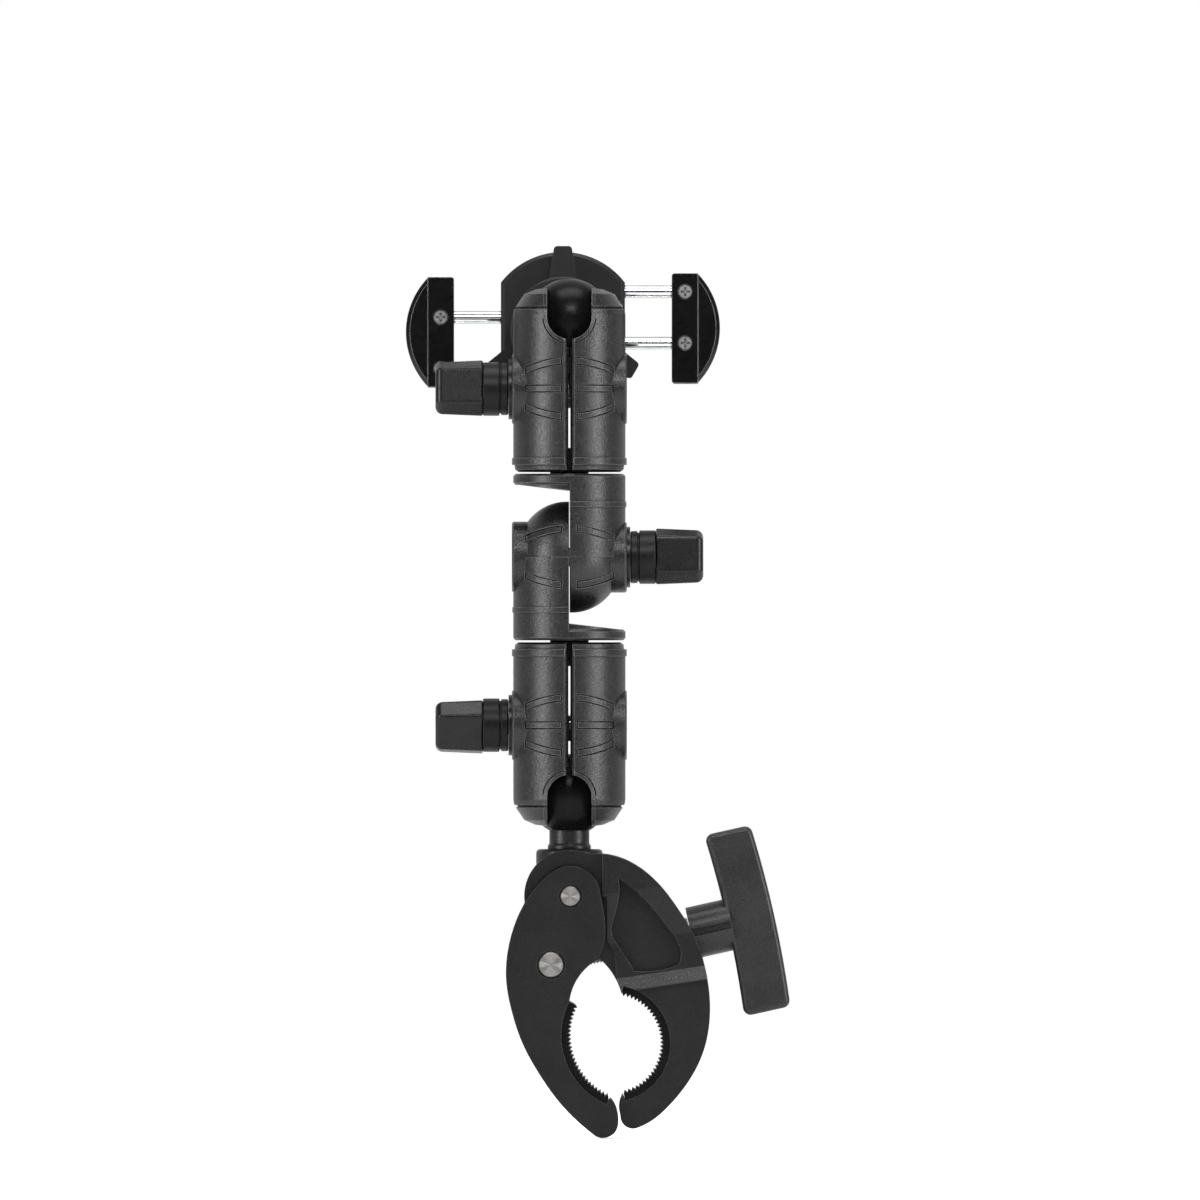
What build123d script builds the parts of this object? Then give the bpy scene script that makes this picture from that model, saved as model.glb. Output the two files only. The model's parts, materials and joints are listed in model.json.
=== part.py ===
from build123d import *
from math import atan2, cos, degrees, hypot, radians, sin
import os

# Phone mount: a screw claw for a handlebar, two split arms joined by an elbow,
# and a sprung cradle for a phone. Millimetres. The origin is the axis of the bar
# that the claw grips: X runs across the mount, Y points to the phone's side, Z up.

# Claw
BAR_RADIUS = 15.0
FIXED_PAD_ENDS = (-77, 79)
MOVING_PAD_CENTRE = (7.4, 2.5)
MOVING_PAD_RADIUS = 20.1
MOVING_PAD_ENDS = (153, 246.5)
PAD_THICKNESS = 3.0
TOOTH_DEPTH = 1.1
TOOTH_PITCH = 1.25
PIVOT = (-12.9, 45.6)
PIVOT_PIN_RADIUS = 3.1
PIVOT_BOSS_RADIUS = 14.3
NUT = (-18.9, 24.4)
NUT_RADIUS = 3.9
CHEEK_RADIUS = 9.3
FRAME_HALF_DEPTH = 11.0
RIB_HALF_DEPTH = 13.5
POCKET_DEPTH = 4.0
ARM_HALF_DEPTH = 12.0
CLAW_HALF_DEPTH = 15.0
FIT = 0.1
GAP = 0.4

# Clamp screw and handle, along an axis that rises from the barrel nut
SCREW_SLOPE = 12.5
SCREW_RADIUS = 3.0
SCREW_SWING = 9.7
SEAT_DISTANCE = 43.0
SEAT_RADIUS = 5.0
HUB_RADIUS = 8.1
HANDLE_DISTANCE = 62.9
HANDLE_LENGTH = 57.5
HANDLE_WIDTH = 15.1
HANDLE_DEPTH = 13.0
HANDLE_ARCH = 0.8

# Post and balls
POST_X = -13.2
TURRET_RADIUS = 10.3
TURRET_TOP = 60.1
STEM_RADIUS = 6.2
BALL_RADIUS = 12.7
BALL_CORE_RADIUS = 10.6
ADAPTER_STEM = 3.7
LOWER_BALL_Z = 76.9
UPPER_BALL_Z = 224.3

# Arms, measured from the ball's centre towards the elbow
ARM_RADIUS = 17.4
SHELL_GAP = 1.9
CROWN_END = 9.8
KNOB_OFFSET = 21.6
ARM_END = 47.3
NOTCH_RADIUS = 6.9
NOTCH_REACH = 6.3
RIM = 1.1
BOSS_RADIUS = 11.0
BOSS_FACE = 17.8
BAND_HEIGHT = 0.3
BAND_WIDTH = 1.7
GROOVE = 0.35
BAND_START = 2.6
BAND_END = 13.4
TONGUE = 0.65

# Elbow
DISC_GAP = 0.6
DISC_THICKNESS = 3.4
DISC_RAMP = 1.8
STUD_LENGTH = 7.4
STUD_RADIUS = 6.0
STUD_FLANGE_RADIUS = 9.0
STUD_FLANGE = 2.2
ELBOW_CLEARANCE = 0.1
ELBOW_Z = (LOWER_BALL_Z + UPPER_BALL_Z) / 2
ELBOW_HEIGHT = ELBOW_Z - LOWER_BALL_Z - ARM_END - DISC_GAP

# Bolts and knobs, measured from the arm's axis outwards
BOLT_RADIUS = 3.0
BOLT_HEAD_RADIUS = 5.5
BOLT_HEAD = 3.6
BOLT_REACH = 36.0
WASHER_RADIUS = 9.4
WASHER_END = 18.9
COLLAR_END = 26.8
KNOB_END = 41.5
KNOB_LONG_SIDE = 11.6
KNOB_SHORT_SIDE = 6.4

# Cradle, measured along Y from the arms' plane
CRADLE_X = -15.2
CRADLE_Z = 221.4
SMALL_BALL_RADIUS = 8.5
SMALL_BALL_Y = 26.5
NUT_BACK = 21.5
NUT_FRONT = 30.4
COLLET_RADIUS = 12.0
BODY_BACK = 31.0
ROD_Y = 38.0
BODY_FRONT = 45.0
PHONE_Y = 47.0
BODY_RADIUS = 24.3
BODY_HALF_WIDTH = 19.3
ROD_RADIUS = 2.0
ROD_LEVELS = (12.0, 4.0, -4.0, -12.0)
ROD_INSIDE = 24.0
PHONE_WIDTH = 78.4
JAW_HEIGHT = 34.2
JAW_BULGE = 6.8
JAW_SHIFT = 0.6
JAW_BACK = 33.8
LIP_BACK = 57.6
LIP_FRONT = 61.4
LIP_REACH = 4.6


def polar(centre, radius, angle):
    """The point of the XZ plane at an angle in degrees round a centre."""
    return (centre[0] + radius * cos(radians(angle)), centre[1] + radius * sin(radians(angle)))


def plate(edges, low, high):
    """An outline in the XZ plane made solid from y = low to y = high."""
    face = make_face([Plane.XZ * edge for edge in edges])
    return Pos(0, low, 0) * extrude(face, amount=high - low, dir=(0, 1, 0))


def rod_x(radius, start, end):
    """A round bar along X."""
    return Pos((start + end) / 2, 0, 0) * Rot(0, 90, 0) * Cylinder(radius, abs(end - start))


def rod_y(radius, start, end):
    """A round bar along Y."""
    return Pos(0, (start + end) / 2, 0) * Rot(90, 0, 0) * Cylinder(radius, abs(end - start))


def rod_z(radius, start, end):
    """A round bar along Z."""
    return Pos(0, 0, (start + end) / 2) * Cylinder(radius, abs(end - start))


def block(x, y, z):
    """A box given by its lower and upper corner on each axis."""
    middle = Pos((x[0] + x[1]) / 2, (y[0] + y[1]) / 2, (z[0] + z[1]) / 2)
    return middle * Box(x[1] - x[0], y[1] - y[0], z[1] - z[0])


def turned(points, axis):
    """A solid of revolution from (distance along the axis, radius) points."""
    start, end = points[0][0], points[-1][0]
    outline = [(start, 0)] + list(points) + [(end, 0)]
    solid = revolve(make_face(Polyline(*outline, close=True)), axis=Axis.X)
    if axis == "Z":
        return Rot(0, -90, 0) * solid
    if axis == "Y":
        return Rot(0, 0, 90) * solid
    return solid


def coil(radius, wire, length, turns):
    """A coil spring along X, centred on the origin."""
    path = Helix(pitch=length / turns, height=length, radius=radius)
    section = Plane(origin=path @ 0, z_dir=path % 0) * Circle(wire)
    spring = sweep(section, path=path, is_frenet=True)
    return Rot(0, 90, 0) * Pos(0, 0, -length / 2) * spring


# ---------------------------------------------------------------- claw


def screw_place(distance, swing=0.0):
    """The frame of the screw's axis: X runs along it, starting at a distance from the barrel nut."""
    seat = polar(NUT, SEAT_DISTANCE, SCREW_SLOPE)
    seat_frame = Location((seat[0], 0, seat[1]), (0, -(SCREW_SLOPE - swing), 0))
    return seat_frame * Pos(distance - SEAT_DISTANCE, 0, 0)


def frame_outline():
    """The fixed frame seen from the side: pivot boss, shoulder and the right-hand jaw."""
    seat = BAR_RADIUS + PAD_THICKNESS
    boss_left = polar(PIVOT, PIVOT_BOSS_RADIUS, 180)
    boss_top = polar(PIVOT, PIVOT_BOSS_RADIUS, 66)
    boss_low = polar(PIVOT, PIVOT_BOSS_RADIUS, -58)
    shoulder = [boss_top, (8, 54.9), (14.5, 49.4), (21, 40.9), (25.6, 33.1)]
    shoulder += [(28.9, 23.3), (30.3, 13.5), (28.2, -2.8), (17.8, -19.1), (12.6, -23.7)]
    tip = (7.3, -26.3)
    lip = (2.6, -22.2)
    low_end, high_end = FIXED_PAD_ENDS
    pad_low, pad_high = polar((0, 0), seat, low_end), polar((0, 0), seat, high_end)
    lip_in, edge_in = polar((0, 0), BAR_RADIUS + 0.9, low_end - 1), polar((0, 0), BAR_RADIUS + 0.5, high_end)
    apex = (-4.0, 26.3)
    return [
        ThreePointArc(boss_left, polar(PIVOT, PIVOT_BOSS_RADIUS, 120), boss_top),
        Spline(*shoulder, tip),
        ThreePointArc(tip, (3.7, -25.2), lip),
        Spline(lip, (2.2, -19.1), lip_in),
        Line(lip_in, pad_low),
        ThreePointArc(pad_low, (seat, 0), pad_high),
        Line(pad_high, edge_in),
        ThreePointArc(edge_in, (0.6, 20.9), apex),
        Line(apex, boss_low),
        ThreePointArc(boss_low, polar(PIVOT, PIVOT_BOSS_RADIUS, -120), boss_left),
    ]


def pocket_outline():
    """The rounded triangle sunk into both faces of the shoulder."""
    left = [(1.8, 51.4), (1.9, 44.2), (0.6, 39.0), (-0.2, 34.6), (1.2, 31.2), (4.1, 26.9), (6.6, 22.3)]
    lower = [left[-1], (12.0, 22.3), (20.6, 24.3)]
    right = [lower[-1], (21.4, 27.6), (16.5, 37.0), (10.0, 44.8), left[0]]
    return [Spline(*left), Spline(*lower), Spline(*right)]


def clamp_frame():
    """The cast frame: the fixed jaw, the pivot boss, a ribbed shoulder and the ball's turret."""
    body = plate(frame_outline(), -ARM_HALF_DEPTH, ARM_HALF_DEPTH)
    thin = rod_y(PIVOT_BOSS_RADIUS + 4, -20, 20)
    cheek_room = Pos(PIVOT[0], 0, PIVOT[1]) * thin - block((-3, 60), (-40, 40), (-60, 90))
    cheek_room += Pos(PIVOT[0], 0, PIVOT[1]) * rod_y(CHEEK_RADIUS + GAP, -20, 20)
    cheek_room += block((-40, -1.6), (-20, 20), (30, PIVOT[1]))
    below_eye = [(-40, 34.5), (-3.0, 34.5), (0.6, 28.5), (1.6, 20.0), (-40, 20.0)]
    cheek_room += plate([Polyline(*below_eye, close=True)], -20, 20)
    cheek_room -= block((-60, 60), (-FRAME_HALF_DEPTH, FRAME_HALF_DEPTH), (-60, 90))
    band = plate(frame_outline(), -RIB_HALF_DEPTH, RIB_HALF_DEPTH)
    band &= Rot(0, -8.5, 0) * block((-60, 60), (-20, 20), (15.3, 90))
    body += band - web_slopes()
    body -= plate(pocket_outline(), -20, -RIB_HALF_DEPTH + POCKET_DEPTH)
    body -= plate(pocket_outline(), RIB_HALF_DEPTH - POCKET_DEPTH, 20)
    turret = rod_z(TURRET_RADIUS, PIVOT[1] + 4, TURRET_TOP)
    body += Pos(POST_X, 0, 0) * fillet(turret.edges().sort_by(Axis.Z)[-1], 1.2)
    body -= cheek_room
    body -= Pos(PIVOT[0], 0, PIVOT[1]) * rod_y(PIVOT_PIN_RADIUS, -20, 20)
    body -= Pos(POST_X, 0, 0) * rod_z(BOLT_RADIUS, TURRET_TOP - 9, TURRET_TOP + 1)
    return body - screw_channel()


def web_slopes():
    """What leaves the band's faces leaning back above its lower edge."""
    low, deepest, high = 15.3, 22.0, 46.0
    wedge = [(-RIB_HALF_DEPTH - 1, low), (-RIB_HALF_DEPTH, low), (-RIB_HALF_DEPTH + 2.3, deepest)]
    wedge += [(-RIB_HALF_DEPTH, high), (-RIB_HALF_DEPTH - 1, high)]
    slope = extrude(make_face(Plane.YZ * Polyline(*wedge, close=True)), amount=60, both=True)
    return Rot(0, -8.5, 0) * (slope + mirror(slope, about=Plane.XZ))


def screw_channel():
    """The slot in which the screw swings and the round seat of its thrust washer."""
    bore = SCREW_RADIUS + GAP
    channel = screw_place(SEAT_DISTANCE) * rod_x(bore, -60, 8)
    channel += screw_place(SEAT_DISTANCE, SCREW_SWING) * rod_x(bore, -60, 8)
    wedge = [
        (0, -bore),
        (-60, -bore),
        (-60, bore + 60 * sin(radians(SCREW_SWING))),
        (0, bore),
    ]
    channel += screw_place(SEAT_DISTANCE) * plate([Polyline(*wedge, close=True)], -bore, bore)
    channel += screw_place(SEAT_DISTANCE) * rod_y(SEAT_RADIUS + FIT, -9, 9)
    return channel + screw_place(SEAT_DISTANCE) * block((0, 30), (-9, 9), (-12, 12))


def moving_jaw_outline():
    """The moving jaw seen from the side: a round eye at the pivot and a curved finger."""
    eye_left = polar(PIVOT, CHEEK_RADIUS, 128)
    eye_right = polar(PIVOT, CHEEK_RADIUS, 0)
    centre, radius = MOVING_PAD_CENTRE, MOVING_PAD_RADIUS + PAD_THICKNESS
    high_end, low_end = MOVING_PAD_ENDS
    pad_high, pad_low = polar(centre, radius, high_end), polar(centre, radius, low_end)
    lip_in = polar(centre, MOVING_PAD_RADIUS + 0.9, low_end + 1.5)
    apex = (-4.6, 25.9)
    back = [eye_left, (-25.3, 46.1), (-29.8, 37.7), (-32.4, 27.9), (-32.8, 20.0), (-31.1, 10.2)]
    back += [(-27.9, 0.5), (-22.6, -9.3), (-16.1, -18.4), (-9.6, -25.0), (-5.7, -28.2)]
    return [
        ThreePointArc(eye_left, polar(PIVOT, CHEEK_RADIUS, 64), eye_right),
        Spline(eye_right, (-2.4, 39.6), (-2.2, 33.1), apex),
        ThreePointArc(apex, (-10.2, 20.8), pad_high),
        ThreePointArc(pad_high, polar(centre, radius, 200), pad_low),
        Line(pad_low, lip_in),
        Spline(lip_in, (2.0, -23.7), (0.8, -27.6), (-2.4, -29.2), (-5.7, -28.2)),
        Spline(*back),
    ]


def moving_jaw():
    """The forked jaw: its cheeks straddle the frame and its finger closes on the bar."""
    jaw = plate(moving_jaw_outline(), -CLAW_HALF_DEPTH, CLAW_HALF_DEPTH)
    inner = FRAME_HALF_DEPTH + GAP
    jaw -= Pos(PIVOT[0], 0, PIVOT[1]) * rod_y(PIVOT_BOSS_RADIUS + GAP, -inner, inner)
    jaw -= block((-9.0, 20), (-inner, inner), (20.0, 70))
    for centre, radius in ((PIVOT, PIVOT_PIN_RADIUS), (NUT, NUT_RADIUS)):
        hole = rod_y(radius + 0.05, -20, 20)
        for side in (-1, 1):
            hole += rod_y(radius + 0.5, side * (CLAW_HALF_DEPTH - 0.5), side * 20)
        jaw -= Pos(centre[0], 0, centre[1]) * hole
    slot = NUT_RADIUS - 0.3
    jaw -= Pos(NUT[0], 0, NUT[1]) * block((-20, 40), (-slot, slot), (-8, 24))
    return jaw


def toothed_pad(centre, radius, ends, half_depth):
    """A rubber lining along an arc, with fine saw teeth on its inner face."""
    start, end = ends
    count = round(radians(end - start) * radius / TOOTH_PITCH)
    step = (end - start) / count
    teeth = []
    for i in range(count):
        teeth.append(polar(centre, radius + TOOTH_DEPTH, start + i * step))
        teeth.append(polar(centre, radius, start + (i + 0.45) * step))
    teeth.append(polar(centre, radius + TOOTH_DEPTH, end))
    back = radius + PAD_THICKNESS
    corner_a, corner_b = polar(centre, back, start), polar(centre, back, end)
    edges = [
        Polyline(*teeth),
        Line(teeth[-1], corner_b),
        ThreePointArc(corner_b, polar(centre, back, (start + end) / 2), corner_a),
        Line(corner_a, teeth[0]),
    ]
    return plate(edges, -half_depth, half_depth)


def pivot_pin():
    """The pin on which the moving jaw turns, flush with both cheeks."""
    half = CLAW_HALF_DEPTH + 0.2
    pin = rod_y(PIVOT_PIN_RADIUS, -half, half)
    return Pos(PIVOT[0], 0, PIVOT[1]) * chamfer(pin.edges().filter_by(GeomType.CIRCLE), 0.3)


def barrel_nut():
    """The cross pin in the moving jaw that the clamp screw threads through."""
    half = CLAW_HALF_DEPTH + 0.2
    nut = rod_y(NUT_RADIUS, -half, half)
    nut = Pos(NUT[0], 0, NUT[1]) * chamfer(nut.edges().filter_by(GeomType.CIRCLE), 0.3)
    return nut - screw_place(0) * rod_x(SCREW_RADIUS + 0.35, -10, 10)


def clamp_screw():
    """The screw from the moving jaw through the frame into the handle."""
    tip = -12.5
    screw = screw_place(0) * rod_x(SCREW_RADIUS, tip + 1, HANDLE_DISTANCE)
    return screw + screw_place(0) * turned([(tip, SCREW_RADIUS - 0.8), (tip + 1, SCREW_RADIUS)], "X")


def thrust_washer():
    """The half-round washer that lets the screw swing against the frame."""
    washer = rod_y(SEAT_RADIUS, -8.6, 8.6) - block((1.2, 20), (-20, 20), (-20, 20))
    return screw_place(SEAT_DISTANCE) * (washer - rod_x(SCREW_RADIUS + FIT, -20, 20))


def handle_bar():
    """The handle's cross bar, arched away from the claw and rounded all over."""
    half, middle, end = HANDLE_LENGTH / 2, HANDLE_WIDTH / 2, HANDLE_WIDTH / 2 - HANDLE_ARCH
    near = ThreePointArc((-middle - HANDLE_ARCH / 2, -half), (-end, 0), (-middle - HANDLE_ARCH / 2, half))
    far = ThreePointArc((end, -half), (middle + HANDLE_ARCH / 2, 0), (end, half))
    ends = [Line(near @ 0, far @ 0), Line(near @ 1, far @ 1)]
    bar = plate([near, far] + ends, -HANDLE_DEPTH / 2, HANDLE_DEPTH / 2)
    bar = fillet(bar.edges().filter_by(Axis.Y), 2.4)
    return fillet(bar.edges(), 1.7)


def t_handle():
    """The T-shaped handle: a grooved hub and its cross bar."""
    hub_start = SEAT_DISTANCE + 1.4
    hub = rod_x(HUB_RADIUS, hub_start, HANDLE_DISTANCE - HANDLE_WIDTH / 2 + 2)
    for side in (-1, 1):
        hub -= Pos(0, side * HUB_RADIUS, 0) * block((0, HANDLE_DISTANCE), (-1.6, 1.6), (-1.2, 1.2))
    handle = hub + Pos(HANDLE_DISTANCE, 0, 0) * handle_bar()
    handle -= rod_x(SCREW_RADIUS, 0, HANDLE_DISTANCE)
    return screw_place(0) * handle


# ---------------------------------------------------------------- balls


def lower_ball_stud():
    """The turned stud on the claw: threaded foot, flange, stem and ball core."""
    foot = TURRET_TOP - LOWER_BALL_Z
    stud = rod_z(BOLT_RADIUS, foot - 8, foot + 1) + Sphere(BALL_CORE_RADIUS)
    stud += turned([(foot, 6.7), (foot + 1.0, 6.7), (foot + 1.9, STEM_RADIUS), (-8, STEM_RADIUS)], "Z")
    return Pos(POST_X, 0, LOWER_BALL_Z) * stud


def ball_cover(stem_radius, direction):
    """The rubber skin round a ball's core, open where the stem leaves it."""
    skin = Sphere(BALL_RADIUS) - Sphere(BALL_CORE_RADIUS + FIT)
    return skin - direction * rod_z(stem_radius + FIT, 0, 30)


def adapter_direction():
    """The turn that takes +Z to the line from the upper ball to the cradle's ball."""
    run = Vector(CRADLE_X - POST_X, SMALL_BALL_Y, CRADLE_Z - UPPER_BALL_Z)
    return Plane(origin=(0, 0, 0), z_dir=run).location


def adapter_length():
    """The distance between the centres of the adapter's two balls."""
    return Vector(CRADLE_X - POST_X, SMALL_BALL_Y, CRADLE_Z - UPPER_BALL_Z).length


def ball_adapter():
    """The stud between the arm and the cradle: a core, a stem and a small ball."""
    reach = adapter_length()
    adapter = Sphere(BALL_CORE_RADIUS) + rod_z(ADAPTER_STEM, 0, reach)
    adapter += Pos(0, 0, reach) * Sphere(SMALL_BALL_RADIUS)
    return Pos(POST_X, 0, UPPER_BALL_Z) * adapter_direction() * adapter


# ---------------------------------------------------------------- arms


def arm_profile():
    """The arm's outside as (height, radius), from the crown to the flat end."""
    ring = ARM_RADIUS + 0.4
    return [
        (-CROWN_END, 6.5),
        (-CROWN_END + 0.5, 10.5),
        (-CROWN_END + 2.0, 14.0),
        (-3.9, 16.6),
        (-3.7, 16.1),
        (-3.3, 16.1),
        (-3.1, ARM_RADIUS - 0.3),
        (-1.5, ARM_RADIUS),
        (ARM_END - 4.4, ARM_RADIUS),
        (ARM_END - 4.3, ring),
        (ARM_END - 2.2, ring),
        (ARM_END - 2.1, ARM_RADIUS - 0.4),
        (ARM_END - 0.7, ARM_RADIUS - 0.6),
        (ARM_END, ARM_RADIUS - 1.6),
    ]


def notch(radius):
    """A U-shaped slot through the crown, along Y."""
    centre = NOTCH_REACH - NOTCH_RADIUS
    slot = Pos(0, 0, centre) * rod_y(radius, -30, 30)
    return slot + block((-radius, radius), (-30, 30), (-30, centre))


def band_plates(widen, straight=True):
    """Upright slabs over the bands beside an axis at height 0: two curved away and one straight."""
    half = BAND_WIDTH / 2 + widen
    start, end = BAND_START - widen, BAND_END + widen
    bands = block((start, end), (-30, 30), (-half, half)) if straight else Part()
    for side in (-1, 1):
        near, middle, far = side * 8.6, side * 7.6, side * 5.6
        inner = ThreePointArc((start, near - half), (8.0, middle - half), (end, far - half))
        outer = ThreePointArc((start, near + half), (8.0, middle + half), (end, far + half))
        ends = [Line(inner @ 0, outer @ 0), Line(inner @ 1, outer @ 1)]
        bands += plate([inner, outer] + ends, -30, 30)
    return bands


def surface_ring(low, high):
    """A thin tube over the arm's surface, from low to high relative to its radius."""
    return rod_z(ARM_RADIUS + high, 0, ARM_END) - rod_z(ARM_RADIUS + low, 0, ARM_END)


def arm_shell(side):
    """One of an arm's two half shells, about its ball's centre; side is -1 left or +1 right."""
    shell = turned(arm_profile(), "Z")
    shell -= notch(NOTCH_RADIUS + RIM + GROOVE) & surface_ring(-GROOVE, 1)
    raised = turned([(height, radius + BAND_HEIGHT) for height, radius in arm_profile()], "Z")
    shell += raised & notch(NOTCH_RADIUS + RIM)
    boss = [(8, BOSS_RADIUS + 0.7), (14, BOSS_RADIUS + 0.3), (BOSS_FACE - 0.5, BOSS_RADIUS)]
    shell += Pos(0, 0, KNOB_OFFSET) * turned(boss + [(BOSS_FACE, BOSS_RADIUS - 0.5)], "X")
    shell -= Pos(0, 0, KNOB_OFFSET) * band_plates(GROOVE) & surface_ring(-GROOVE, 1)
    shell += Pos(0, 0, KNOB_OFFSET) * band_plates(0) & surface_ring(-0.5, BAND_HEIGHT)
    shell &= block((SHELL_GAP / 2, 30), (-30, 30), (-30, 60))
    for face in (-1, 1):
        corner = Pos(SHELL_GAP / 2, face * ARM_RADIUS, 0) * Rot(0, 0, 45)
        shell -= corner * block((-0.5, 0.5), (-0.5, 0.5), (-30, 60))
        shell += Pos(0, face * 8.2, 0) * block((SHELL_GAP / 2 - TONGUE, 4), (-1.2, 1.2), (6, ARM_END - 0.5))
    shell -= Sphere(BALL_RADIUS + 0.2)
    shell -= notch(NOTCH_RADIUS)
    shell -= rod_z(STUD_RADIUS + FIT, ARM_END - STUD_LENGTH - 1, ARM_END + 1)
    top = ARM_END - STUD_LENGTH
    shell -= rod_z(STUD_FLANGE_RADIUS + FIT, top - 0.2, top + STUD_FLANGE + 0.2)
    across = Pos(0, 0, KNOB_OFFSET)
    shell -= across * rod_x(BOLT_RADIUS + 0.2, 0, 30)
    shell -= across * rod_x(5.4, 0, 5.0)
    shell -= Pos(0, 0, 33.6) * rod_x(6.0, 0, 10)
    if side > 0:
        shell -= across * rod_x(BOLT_HEAD_RADIUS, BOSS_FACE - BOLT_HEAD, 30)
        return shell
    return mirror(shell, about=Plane.YZ)


def arm_spring():
    """The spring round the bolt that spreads an arm's shells when its knob is loose."""
    return Pos(0, 0, KNOB_OFFSET) * coil(4.4, 0.6, 8.6, 4)


def bolt(head_face, towards):
    """A cross bolt along X with a round head, its thread reaching into the knob."""
    body = rod_x(BOLT_RADIUS, -BOLT_REACH, head_face - BOLT_HEAD + 0.5)
    head = rod_x(BOLT_HEAD_RADIUS, head_face - BOLT_HEAD, head_face - 0.3)
    socket = Pos(head_face, 0, 0) * Rot(0, 90, 0) * extrude(RegularPolygon(2.9, 6), amount=4, both=True)
    screw = body + head - (socket & rod_x(4, head_face - 2.4, head_face + 1))
    if towards < 0:
        return screw
    return mirror(screw, about=Plane.YZ)


# ---------------------------------------------------------------- knobs


def knob_outline():
    """A triangle with its corners cut off: three long sides and three short ones."""
    long_middle = (KNOB_LONG_SIDE / 2 + KNOB_SHORT_SIDE) / 3 ** 0.5
    corners = []
    for i in range(3):
        middle = 90 + 120 * i
        spread = degrees(atan2(KNOB_LONG_SIDE / 2, long_middle))
        reach = hypot(KNOB_LONG_SIDE / 2, long_middle)
        corners += [polar((0, 0), reach, middle - spread), polar((0, 0), reach, middle + spread)]
    return make_face(Polyline(*corners, close=True))


def knob_head(turn):
    """The grip of a knob: a tapered, rounded three-sided block along -X."""
    wide = fillet(knob_outline().vertices(), 1.6)
    grip = extrude(wide, amount=KNOB_END - COLLAR_END, taper=2.4)
    grip = fillet(grip.faces().sort_by(Axis.Z)[-1].edges(), 2.2)
    grip = chamfer(grip.faces().sort_by(Axis.Z)[0].edges(), 0.4)
    grip = Rot(turn, 0, 0) * Pos(-COLLAR_END, 0, 0) * Rot(0, -90, 0) * grip
    return grip - rod_x(5.0, -COLLAR_END - 10.5, -COLLAR_END + 1)


def knob_collar():
    """The smooth round collar between the arm's boss and the grip."""
    profile = [(WASHER_END, 7.6), (WASHER_END + 0.3, 8.1), (WASHER_END + 2.1, 8.1)]
    profile += [(WASHER_END + 2.3, 7.6), (WASHER_END + 2.7, 7.6), (WASHER_END + 2.9, 8.3)]
    profile += [(COLLAR_END - 0.3, 8.3), (COLLAR_END, 8.0)]
    collar = turned(profile, "X") - rod_x(5.0, 0, 40)
    return mirror(collar, about=Plane.YZ)


def knob_insert():
    """The threaded brass bush moulded into a knob."""
    bush = rod_x(5.0, -COLLAR_END - 10.5, -WASHER_END - 0.2)
    return bush - rod_x(BOLT_RADIUS + 0.05, -60, 0)


def knob_washer():
    """The flat washer that a knob turns against."""
    washer = rod_x(WASHER_RADIUS, -WASHER_END + 0.05, -BOSS_FACE)
    return washer - rod_x(BOLT_RADIUS + 0.2, -60, 0)


# ---------------------------------------------------------------- elbow


def bell(inset=0.0):
    """The round head of an elbow half about its pivot, or the same made smaller all round."""
    inside, round_end = ELBOW_CLEARANCE, BOSS_RADIUS - inset
    edge = [
        Line((inside, 0), (inside, ARM_RADIUS - 0.2 - inset)),
        ThreePointArc((inside, ARM_RADIUS - 0.2 - inset), (8.6 - inset, 15.0 - inset), (12.9 - inset, round_end)),
        Line((12.9 - inset, round_end), (BOSS_FACE - 0.5, round_end)),
        Line((BOSS_FACE - 0.5, round_end), (BOSS_FACE, round_end - 0.5)),
        Line((BOSS_FACE, round_end - 0.5), (BOSS_FACE, 0)),
        Line((BOSS_FACE, 0), (inside, 0)),
    ]
    return revolve(make_face(edge), axis=Axis.X)


def elbow_half():
    """Half of the elbow about its pivot: a disc with a stud below, a half column and a bell."""
    base, top = -ELBOW_HEIGHT, -ELBOW_HEIGHT + DISC_THICKNESS
    rounded = ARM_RADIUS - 0.7
    disc = turned([(base, rounded), (base + 0.7, ARM_RADIUS), (top - 0.7, ARM_RADIUS), (top, rounded)], "Z")
    ramp = [(-ARM_RADIUS, top - 0.2), (1, top - 0.2), (1, top + DISC_RAMP), (0, top + DISC_RAMP)]
    disc += plate([Polyline(*ramp, close=True)], -30, 30) & rod_z(rounded, base, 0)
    column = rod_z(ARM_RADIUS, base + DISC_THICKNESS / 2, 0)
    band_low = base + 8.6
    band = rod_z(ARM_RADIUS + BAND_HEIGHT, band_low, band_low + BAND_WIDTH)
    right_side = block((ELBOW_CLEARANCE, 30), (-30, 30), (-60, 0))
    half = (column & right_side) + bell()
    core = (rod_z(ARM_RADIUS - GROOVE, base, 0) & right_side) + bell(GROOVE)
    half -= band_plates(GROOVE, straight=False) - core
    half += band_plates(0, straight=False) & ((column & right_side) + bell())
    half += (band & right_side) + disc
    flange = base - DISC_GAP - STUD_LENGTH
    half += rod_z(STUD_RADIUS, flange, base + 1)
    half += rod_z(STUD_FLANGE_RADIUS, flange, flange + STUD_FLANGE)
    return half - rod_x(BOLT_RADIUS + 0.05, 0, 60)


def lower_elbow():
    """The elbow's lower half, on the left, with the pocket for the bolt's head."""
    half = mirror(elbow_half(), about=Plane.YZ)
    half -= rod_x(BOLT_HEAD_RADIUS, -30, -BOSS_FACE + BOLT_HEAD)
    return Pos(POST_X, 0, ELBOW_Z) * half


def upper_elbow():
    """The elbow's upper half, on the right, under the knob."""
    return Pos(POST_X, 0, ELBOW_Z) * Rot(180, 0, 0) * elbow_half()


# ---------------------------------------------------------------- cradle


def in_cradle(solid):
    """Puts a solid made about the cradle's centre into place."""
    return Pos(CRADLE_X, 0, CRADLE_Z) * solid


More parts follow.
